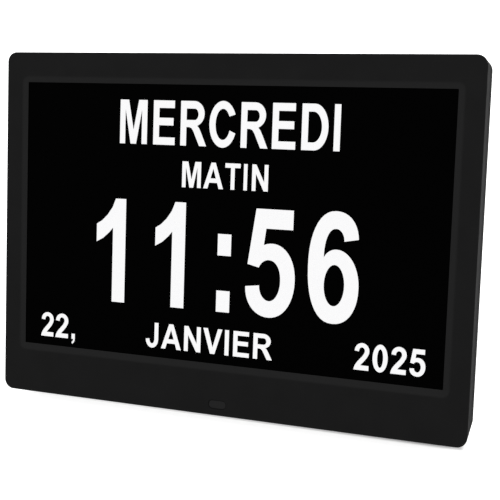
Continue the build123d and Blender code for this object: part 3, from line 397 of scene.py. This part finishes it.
# Each letter stands on height 0, with its top at height 100: its outlines, then its width.
letters = {
    "M": (
        [
            [
                (0, 0), (0, 100), (30.2, 100), (48.4, 32), (66.4, 100), (96.6, 100), (96.6, 0),
                (77.8, 0), (77.8, 78.7), (58, 0), (38.6, 0), (18.8, 78.7), (18.8, 0),
            ]
        ],
        96.6,
    ),
    "E": (
        [
            [
                (0, 0), (0, 100), (74, 100), (74, 83), (20.2, 83), (20.2, 61), (70.5, 61),
                (70.5, 44), (20.2, 44), (20.2, 17), (76, 17), (76, 0),
            ]
        ],
        76,
    ),
    "R": (
        [
            [
                (0, 0), (0, 100), *sweep_arc(46, 72, 35.8, 28, 90, -62), (57.5, 45), (64, 40),
                (70.5, 31), (89.9, 0), (65.8, 0), (51.5, 22), (44.5, 33), (38, 39.5), (30, 41.7),
                (20.2, 41.7), (20.2, 0),
            ],
            [(20.2, 57.7), (20.2, 83.1), *sweep_arc(48, 70.4, 13, 12.7, 90, -90)],
        ],
        89.9,
    ),
    "C": (
        [
            [
                *sweep_arc(46.5, 50, 46.5, 51.7, 25.7, 338),
                *sweep_arc(46.5, 50, 25.2, 34.4, 337.4, 31),
            ]
        ],
        89.6,
    ),
    "D": (
        [
            [(0, 0), (0, 100), *sweep_arc(40, 50, 44, 50, 90, -90)],
            [(20.2, 17), (20.2, 83), *sweep_arc(36, 50, 27.5, 33, 90, -90)],
        ],
        84,
    ),
    "I": ([[(0, 0), (0, 100), (20, 100), (20, 0)]], 20),
    "A": (
        [
            [(0, 0), (39, 100), (60, 100), (100, 0), (78, 0), (69.6, 22.7), (29.6, 22.7), (21.4, 0)],
            [(36, 39.6), (49.3, 76.7), (63, 39.6)],
        ],
        100,
    ),
    "T": (
        [[(0, 83), (0, 100), (80, 100), (80, 83), (50.1, 83), (50.1, 0), (29.9, 0), (29.9, 83)]],
        80,
    ),
    "N": (
        [
            [
                (0, 0), (0, 100), (19.6, 100), (60.6, 33), (60.6, 100), (79.4, 100), (79.4, 0),
                (59, 0), (18.8, 65), (18.8, 0),
            ]
        ],
        79.4,
    ),
    "J": (
        [
            [
                (46, 100), (66.3, 100), *sweep_arc(33.2, 34, 33.1, 35.7, 0, -178), (19.6, 35),
                *sweep_arc(32.8, 33, 13.2, 17.3, 180, 360),
            ]
        ],
        66.3,
    ),
    "V": ([[(35.5, 0), (0, 100), (22, 100), (47, 26), (71.4, 100), (92.8, 100), (57, 0)]], 92.8),
    "0": ([sweep_arc(32, 50, 32, 51, *full_ring), sweep_arc(32, 50, 12.5, 34, *full_ring)], 64),
    "1": (
        [
            [
                (43.8, 0), (24.7, 0), (24.7, 72), (19, 67.2), (10, 61.5), (0, 57.5), (0, 74.8),
                (8, 78.3), (16.2, 84.1), (23.5, 91.5), (28.3, 100), (43.8, 100),
            ]
        ],
        43.8,
    ),
    "2": (
        [
            [
                (66.9, 17.7), (66.9, 0), (0, 0), (2.2, 10), (6.8, 19.2), (15, 29.8), (28, 42.9),
                (39, 53.5), *sweep_arc(34.9, 70.9, 12.9, 13.3, -30, 175), (21.3, 68.6), (2.2, 70.5),
                *sweep_arc(35.2, 71, 32.6, 29, 178, -30), (57, 46), (43.6, 31.4), (34, 22.5),
                (30.2, 17.7),
            ]
        ],
        67.8,
    ),
    "5": (
        [
            [
                (8.5, 98.4), (44.1, 98.4), (44.1, 80.6), (18.6, 80.6), (16.6, 64.4),
                *sweep_arc(24.6, 34.5, 22.7, 32.7, 110, 0, 2.1),
                *sweep_arc(23.1, 34.5, 24.2, 35.5, 0, -90, 2.1),
                *sweep_arc(23.1, 26.4, 23.1, 27.4, -90, -180, 2.1), (13.4, 28.1),
                *sweep_arc(23.2, 28.1, 9.8, 13.9, 180, 270), *sweep_arc(23.2, 33, 10.3, 18.8, 270, 360),
                *sweep_arc(21.9, 33, 11.6, 19, 0, 90, 2.2), *sweep_arc(21.9, 39, 10.3, 13, 90, 155),
                (1.5, 47.1),
            ]
        ],
        47.7,
    ),
    "6": (
        [
            [
                *sweep_arc(23.6, 73, 20.7, 27.2, 5, 90, 2.2),
                *sweep_arc(23.6, 50, 23.4, 50.2, 90, 180, 2.2),
                *sweep_arc(23.9, 50, 23.7, 51, 180, 270, 2.3),
                *sweep_arc(24, 33, 21.7, 34, 270, 360, 2.2),
                *sweep_arc(25.2, 33, 20.5, 33, 0, 90),
                *sweep_arc(25.2, 52, 12.5, 14, 90, 150),
                *sweep_arc(24, 58, 10, 26.4, 180, 90, 2.2),
                *sweep_arc(24.4, 73.5, 7.3, 10.9, 90, 0),
            ],
            sweep_arc(24, 33.6, 9.05, 18.6, *full_ring),
        ],
        46.4,
    ),
    ":": (
        [
            [(0, 0), (0, 20), (14.4, 20), (14.4, 0)],
            [(0, 52.8), (0, 72.9), (14.4, 72.9), (14.4, 52.8)],
        ],
        14.4,
    ),
    ",": (
        [
            [
                (0, 0), (0, 21.5), (20, 21.5), (20, 2), (18.5, -7), (14, -14.5), (4.5, -20.5),
                (0, -13.5), (6.5, -9.5), (9.5, -4.5), (10, 0),
            ]
        ],
        20,
    ),
}

# Every word as it lies on the screen, in millimetres: the height that it stands on, its own
# height, and each letter with its left and right side.
words = {
    "readout_weekday": (
        38.5, 21.75,
        [
            ("M", -56.4, -41.7), ("E", -38.3, -26.8), ("R", -23.8, -10.2), ("C", -8.8, 4.6),
            ("R", 7.4, 21), ("E", 23.1, 34.6), ("D", 37.5, 50.3), ("I", 53, 56),
        ],
    ),
    "readout_day_part": (
        18.1, 12.7,
        [
            ("M", -22.3, -12.4), ("A", -11.1, -0.8), ("T", 0.1, 7.9), ("I", 9.6, 11.4),
            ("N", 13.8, 21.9),
        ],
    ),
    "readout_time": (
        -42.1, 52.7,
        [
            ("1", -68.3, -52.2), ("1", -35.8, -19.8), (":", -2.6, 4.3), ("5", 12.2, 37.1),
            ("6", 43, 68.1),
        ],
    ),
    "readout_day": (-63.7, 12.7, [("2", -99.7, -92.4), ("2", -91.3, -83.8), (",", -81.8, -79.9)]),
    "readout_month": (
        -63.4, 12.65,
        [
            ("J", -39.7, -32.9), ("A", -31.3, -20.5), ("N", -18.9, -10.1), ("V", -8.8, 1.2),
            ("I", 2.6, 4.7), ("E", 7, 15.2), ("R", 17.3, 27),
        ],
    ),
    "readout_year": (
        -63.2, 12.9, [("2", 67, 74.2), ("0", 75.8, 82.9), ("2", 84.3, 91.6), ("5", 93.1, 100.4)],
    ),
}
cap_height = 100
lit_thickness = 0.05 * mm
flat_gap = 0.005 * mm
merge_distance = 0.001 * mm
pixel_pitch = 0.17 * mm
pixel_gap = 0.008 * mm

lit_finish = bpy.data.materials.new("readout_white")
lit_finish.use_nodes = True
lit_nodes, lit_links = lit_finish.node_tree.nodes, lit_finish.node_tree.links
lit_shader = shader_of(lit_finish)
lit_shader.inputs["Base Color"].default_value = (0, 0, 0, 1)
lit_shader.inputs["Roughness"].default_value = 0.3
lit_shader.inputs["Specular IOR Level"].default_value = 0.0
lit_shader.inputs["Emission Strength"].default_value = 1.0
lit_place = lit_nodes.new("ShaderNodeTexCoord")
lit_turn = lit_nodes.new("ShaderNodeMapping")
lit_turn.inputs["Rotation"].default_value = (lean - upright, 0, 0)
lit_pixels = lit_nodes.new("ShaderNodeTexBrick")
lit_pixels.offset = 0
lit_pixels.inputs["Scale"].default_value = 1
lit_pixels.inputs["Brick Width"].default_value = pixel_pitch
lit_pixels.inputs["Row Height"].default_value = pixel_pitch
lit_pixels.inputs["Mortar Size"].default_value = pixel_gap
lit_pixels.inputs["Color1"].default_value = (0.98, 0.985, 1, 1)
lit_pixels.inputs["Color2"].default_value = (1, 0.99, 0.985, 1)
lit_pixels.inputs["Mortar"].default_value = (0.8, 0.8, 0.82, 1)
lit_links.new(lit_place.outputs["Object"], lit_turn.inputs["Vector"])
lit_links.new(lit_turn.outputs["Vector"], lit_pixels.inputs["Vector"])
lit_links.new(lit_pixels.outputs["Color"], lit_shader.inputs["Emission Color"])


def flat_piece(name, outlines, thickness, ground, finish):
    """A thin piece of the case from outlines in millimetres, laid just clear of a ground."""
    drawn = bpy.data.curves.new(name, "CURVE")
    drawn.dimensions = "2D"
    drawn.fill_mode = "BOTH"
    drawn.extrude = thickness / 2
    for outline in outlines:
        line = drawn.splines.new("POLY")
        line.points.add(len(outline) - 1)
        line.use_cyclic_u = True
        for point, (x, y) in zip(line.points, outline):
            point.co = (x * mm, y * mm, 0, 1)
    piece = bpy.data.objects.new(name, drawn)
    bpy.context.scene.collection.objects.link(piece)
    bpy.ops.object.select_all(action="DESELECT")
    piece.select_set(True)
    bpy.context.view_layer.objects.active = piece
    bpy.ops.object.convert(target="MESH")
    piece = bpy.context.object
    bpy.ops.object.mode_set(mode="EDIT")
    bpy.ops.mesh.select_all(action="SELECT")
    bpy.ops.mesh.remove_doubles(threshold=merge_distance)
    bpy.ops.mesh.normals_make_consistent(inside=False)
    bpy.ops.object.mode_set(mode="OBJECT")
    piece.data.transform(ground @ Matrix.Translation((0, 0, flat_gap + thickness / 2)))
    piece.select_set(False)
    piece.data.materials.clear()
    piece.data.materials.append(finish)
    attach(piece, "case")
    return piece


for word, (stands_on, height, places) in words.items():
    outlines = []
    for letter, left, right in places:
        shapes, width = letters[letter]
        for shape in shapes:
            outlines.append([
                (left + (right - left) * x / width, stands_on + height * y / cap_height)
                for x, y in shape
            ])
    lit = flat_piece(word, outlines, lit_thickness, on_screen, lit_finish)

# Ports in the left wall: a round power inlet with its steel pin, and a USB port, whose folded
# steel shell holds a white tongue with four contacts.
inlet_finish = moulded(
    "inlet_black", colour=(0.016, 0.016, 0.017), roughness=0.4, specular=0.4, grain=0.8, depth=0.02
)
pin_radius = 1.1
pin_half = (endless, pin_radius, pin_radius)
inlet_pin = outside(inlet_finish, middle_of("power_inlet"), pin_half, pin_radius)
tint(inlet_finish, inlet_pin, colour=(0.6, 0.6, 0.6), metal=True)
dress(inlet_finish, "power_inlet")

usb_finish = moulded(
    "usb_steel", colour=(0.6, 0.6, 0.61), roughness=0.28, specular=0.5, grain=0.4, depth=0.01,
    patchiness=0.08, drawn=0.03,
)
tongue_drop = 0.9
tongue_half = (endless, 5.5, 1.0)
tongue_middle = Vector(middle_of("usb_port")) - Vector((0, 0, tongue_drop))
tongue = outside(usb_finish, tongue_middle, tongue_half)
tint(usb_finish, tongue, colour=(0.7, 0.7, 0.68))
usb_bare = usb_finish.node_tree.nodes.new("ShaderNodeMapRange")
usb_bare.inputs["From Max"].default_value = edge_fade
usb_finish.node_tree.links.new(tongue, usb_bare.inputs["Value"])
usb_finish.node_tree.links.new(usb_bare.outputs["Result"], shader_of(usb_finish).inputs["Metallic"])
contact_half = (endless, 0.5, 0.15)
contact_heights = (-3.5, -1.0, 1.0, 3.5)
contact_fade = 0.05
for contact_height in contact_heights:
    contact_middle = tongue_middle + Vector((0, contact_height, tongue_half[2]))
    contact = outside(usb_finish, contact_middle, contact_half)
    tint(usb_finish, contact, colour=(0.75, 0.5, 0.14), far=contact_fade)
dress(usb_finish, "usb_port")

# Films behind the glass: a milky diffuser and a bright reflector, with a clear acrylic light
# guide between them that has white dots printed on it, all cut from sheet and laid in the frame.
dot_core = 0.8


def dotted(finish, spacing, radius, colour, metal=False):
    """Sets small dots of a colour about a spacing apart, in millimetres."""
    spots = finish.node_tree.nodes.new("ShaderNodeTexVoronoi")
    spots.voronoi_dimensions = "2D"
    spots.inputs["Scale"].default_value = 1 / spacing
    finish.node_tree.links.new(on_case(finish), spots.inputs["Vector"])
    edge = radius / spacing
    tint(finish, spots.outputs["Distance"], colour, near=dot_core * edge, far=edge, metal=metal)


film_finish = moulded(
    "film_white", colour=(0.85, 0.85, 0.86), roughness=0.5, specular=0.3, grain=1.5, depth=0.01,
    patchiness=0.03,
)
dress(film_finish, "diffuser_sheet", "reflector_sheet")
guide_finish = moulded(
    "acrylic_clear", colour=(0.92, 0.95, 0.96), roughness=0.06, specular=0.5, grain=3, depth=0.003,
    patchiness=0.02,
)
dotted(guide_finish, spacing=1.0, radius=0.22, colour=(0.98, 0.98, 0.98))
shader_of(guide_finish).inputs["Transmission Weight"].default_value = 0.9
shader_of(guide_finish).inputs["IOR"].default_value = 1.49
dress(guide_finish, "light_guide_plate")

# Metal inside the case: the pressed tray and clamps behind the screen, the turned hinge pin, the
# folded card slot, the small screws and the coin cell, all bright steel with faint drawing lines.
steel_finish = moulded(
    "steel", colour=(0.55, 0.55, 0.56), roughness=0.32, specular=0.5, grain=0.4, depth=0.01,
    patchiness=0.08, drawn=0.03, metal=1.0,
)
dress(steel_finish, "lcd_rear_tray", "screen_clamps", "stand_hinge_pin", "card_slot")
dress(steel_finish, "small_screws", "coin_cell")

# Rear cover and its fold-out leg: black ABS like the bezel, a shade paler and with a coarser grain.
# The leg turns on its pin in the cover, and blackened steel screws hold the cover to the bezel.
cover_finish = moulded(
    "cover_black", colour=(0.016, 0.016, 0.0162), roughness=0.65, specular=0.015, grain=0.5,
    depth=0.06,
)
# The same painted shade darkens the seam groove on the cover.
cover_seam = outside(cover_finish, seam_middle, seam_half)
tint(cover_finish, cover_seam, seam_shade_colour, seam_groove, seam_shadow, sunk=4)
dress(cover_finish, "rear_cover")
leg_finish = moulded(
    "leg_black", colour=(0.017, 0.017, 0.0172), roughness=0.6, specular=0.05, grain=0.5, depth=0.06
)
dress(leg_finish, "stand_leg")
case_screw_finish = moulded(
    "screw_black", colour=(0.03, 0.03, 0.032), roughness=0.35, specular=0.5, grain=0.5, depth=0.02,
    metal=0.9,
)
dress(case_screw_finish, "case_screws")

# Feet: soft black rubber, glued under the case and pushed onto the end of the leg.
rubber_finish = moulded(
    "rubber_black", colour=(0.018, 0.018, 0.018), roughness=0.85, specular=0.2, grain=0.4, depth=0.05
)
dress(rubber_finish, "rubber_feet", "stand_foot_pad")

# Push buttons: smooth black caps in the back wall. Each sits on the brown plunger of its switch,
# a black body with a pressed steel lid that is soldered to the key board.
button_names = ["power", "menu", "left", "up", "down", "right", "ok"]
button_finish = moulded(
    "button_black", colour=(0.014, 0.014, 0.015), roughness=0.35, specular=0.35, grain=0.6, depth=0.01
)
dress(button_finish, *[f"{name}_button" for name in button_names])
switch_finish = moulded(
    "switch_black", colour=(0.02, 0.02, 0.022), roughness=0.5, specular=0.4, grain=0.3, depth=0.02
)
lid_middle = (0, 0, reach("key_switches", outward)[0])
lid_half = (endless, endless, 0.3)
switch_lid = outside(switch_finish, lid_middle, lid_half)
tint(switch_finish, switch_lid, colour=(0.6, 0.6, 0.61), metal=True)
dress(switch_finish, "key_switches")
plunger_finish = moulded(
    "plunger_brown", colour=(0.035, 0.025, 0.02), roughness=0.4, specular=0.4, grain=0.3, depth=0.01
)
dress(plunger_finish, *[f"{name}_plunger" for name in button_names])

# Marks printed in pale ink on the rear cover above the buttons: a ring with a bar for power,
# three bars for the menu, four arrows and a ring. Each arrow points the way it moves the choice.
arrow_reach = 1.5
power_outer = 1.6
power_inner = 1.2
power_sweep = (125, 415)
ok_outer = 1.5
ok_inner = 1.05
mark_rise = 5.4
ink_thickness = 0.03 * mm


def arrow(turn):
    """A triangle that points to an angle in degrees, seen from behind."""
    corners = [radians(turn + corner) for corner in (0, 120, 240)]
    return [[(arrow_reach * cos(corner), arrow_reach * sin(corner)) for corner in corners]]


def bar(x, y, width, height):
    """A printed bar about a point."""
    return [
        (x - width / 2, y - height / 2), (x + width / 2, y - height / 2),
        (x + width / 2, y + height / 2), (x - width / 2, y + height / 2),
    ]


def ring(radius, start, end):
    """Points along a circle about the middle of a mark, between two angles in degrees."""
    return sweep_arc(0, 0, radius, radius, start, end)


marks = {
    "power": [
        ring(power_outer, *power_sweep) + ring(power_inner, *reversed(power_sweep)),
        bar(x=0, y=1.15, width=0.4, height=1.3),
    ],
    "menu": [bar(x=0, y=rise, width=2.8, height=0.45) for rise in (-1.1, 0, 1.1)],
    "left": arrow(0),
    "up": arrow(90),
    "down": arrow(270),
    "right": arrow(180),
    "ok": [ring(ok_outer, *full_ring), ring(ok_inner, *full_ring)],
}
ink_finish = moulded(
    "mark_ink", colour=(0.55, 0.55, 0.55), roughness=0.6, specular=0.3, grain=0.2, depth=0.01,
    patchiness=0.1,
)
back_height = reach("rear_cover", outward)[0]
for name in button_names:
    across, up, _ = middle_of(f"{name}_button")
    behind = (
        on_screen
        @ Matrix.Translation((across * mm, (up + mark_rise) * mm, back_height * mm))
        @ Matrix.Rotation(radians(180), 4, "Y")
    )
    mark = flat_piece(f"{name}_mark", marks[name], ink_thickness, behind, ink_finish)

# Boards: green glass-fibre with copper tracks that show through the solder mask, and tinned
# pads. The light strip is a white one of the same kind, with a yellow face on each lamp.
def ruled(finish, width, height, line, colour):
    """Draws the lines between bricks of a size in millimetres over a finish."""
    grid = finish.node_tree.nodes.new("ShaderNodeTexBrick")
    grid.inputs["Scale"].default_value = 1
    grid.inputs["Brick Width"].default_value = width
    grid.inputs["Row Height"].default_value = height
    grid.inputs["Mortar Size"].default_value = line / 2
    finish.node_tree.links.new(on_case(finish), grid.inputs["Vector"])
    coat(finish, grid.outputs["Fac"], colour)


board_finish = moulded(
    "board_green", colour=(0.01, 0.09, 0.035), roughness=0.35, specular=0.5, grain=1.2, depth=0.02,
    patchiness=0.2,
)
track_green = (0.02, 0.16, 0.06)
ruled(board_finish, width=7.0, height=1.3, line=0.35, colour=track_green)
ruled(board_finish, width=3.1, height=11.0, line=0.5, colour=track_green)
dotted(board_finish, spacing=3.5, radius=0.45, colour=(0.6, 0.58, 0.52), metal=True)
dress(board_finish, "key_board", "main_board", "ir_board")
strip_finish = moulded(
    "strip_white", colour=(0.7, 0.71, 0.7), roughness=0.5, specular=0.4, grain=1, depth=0.01
)
lamp_face_middle = (0, reach("backlight_led_strip", up_face)[1], 0)
lamp_face_half = (endless, 0.1, endless)
lamp_face = outside(strip_finish, lamp_face_middle, lamp_face_half)
tint(strip_finish, lamp_face, colour=(0.75, 0.5, 0.08))
dress(strip_finish, "backlight_led_strip")

# Chips, coil and receiver on the boards: black epoxy, with a printed dot at the first pin.
chip_finish = moulded(
    "chip_black", colour=(0.02, 0.02, 0.022), roughness=0.5, specular=0.4, grain=0.3, depth=0.02
)
pin_dot_inset = 1.6
pin_dot_radius = 0.5
pin_dot_half = (pin_dot_radius, pin_dot_radius, endless)
for name in ("main_processor", "memory_chip"):
    left_edge = reach(name, sideways)[0]
    top_edge = reach(name, up_face)[1]
    pin_dot_middle = (left_edge + pin_dot_inset, top_edge - pin_dot_inset, 0)
    pin_dot = outside(chip_finish, pin_dot_middle, pin_dot_half, pin_dot_radius)
    tint(chip_finish, pin_dot, colour=(0.3, 0.3, 0.3))
dress(chip_finish, "main_processor", "memory_chip", "power_inductor", "ir_receiver")

# Cans: the crystal and the capacitors are drawn aluminium, the capacitors on black bases.
can_finish = moulded(
    "can_aluminium", colour=(0.7, 0.7, 0.71), roughness=0.3, specular=0.5, grain=1, depth=0.01,
    metal=1.0,
)
can_base_middle = middle_of("power_capacitors")
can_base_middle[2] = reach("power_capacitors", outward)[0]
can_base_half = (12, 5, 1.0)
can_base = outside(can_finish, can_base_middle, can_base_half)
tint(can_finish, can_base, colour=(0.02, 0.02, 0.02))
dress(can_finish, "clock_crystal", "power_capacitors")

# Speaker: a black paper cone in a grey painted basket, with a bare steel magnet cup behind it.
speaker_finish = moulded(
    "speaker_paper", colour=(0.018, 0.018, 0.018), roughness=0.85, specular=0.15, grain=0.6,
    depth=0.06, patchiness=0.2,
)
cone_radius = 17.0
cone_half = (cone_radius, cone_radius, endless)
basket = outside(speaker_finish, middle_of("speaker"), cone_half, cone_radius)
tint(speaker_finish, basket, colour=(0.12, 0.12, 0.125), near=edge_fade, far=0.0)
cup_middle = (0, 0, reach("speaker", outward)[1])
cup_half = (endless, endless, 3.4)
cup = outside(speaker_finish, cup_middle, cup_half)
tint(speaker_finish, cup, colour=(0.55, 0.55, 0.56), metal=True)
dress(speaker_finish, "speaker")

# Connectors and cables: white nylon plugs, the screen connector with a dark latch, a flat film
# cable with a copper track every millimetre, and grey wires.
connector_finish = moulded(
    "connector_white", colour=(0.72, 0.7, 0.64), roughness=0.45, specular=0.4, grain=0.8, depth=0.02
)
latch_middle = middle_of("lcd_connector")
latch_middle[1] = reach("lcd_connector", up_face)[1]
latch_half = (13, 1.2, endless)
latch = outside(connector_finish, latch_middle, latch_half)
tint(connector_finish, latch, colour=(0.04, 0.035, 0.03))
dress(connector_finish, "lcd_connector", "cable_headers")
ribbon_finish = moulded(
    "ribbon_white", colour=(0.75, 0.75, 0.74), roughness=0.4, specular=0.4, grain=2, depth=0.01
)
ruled(ribbon_finish, width=1.0, height=endless, line=0.4, colour=(0.45, 0.38, 0.3))
dress(ribbon_finish, "lcd_ribbon_cable")
cable_finish = moulded(
    "cable_grey", colour=(0.18, 0.18, 0.19), roughness=0.5, specular=0.35, grain=1, depth=0.02
)
dress(cable_finish, "key_cable", "speaker_cable", "ir_cable")
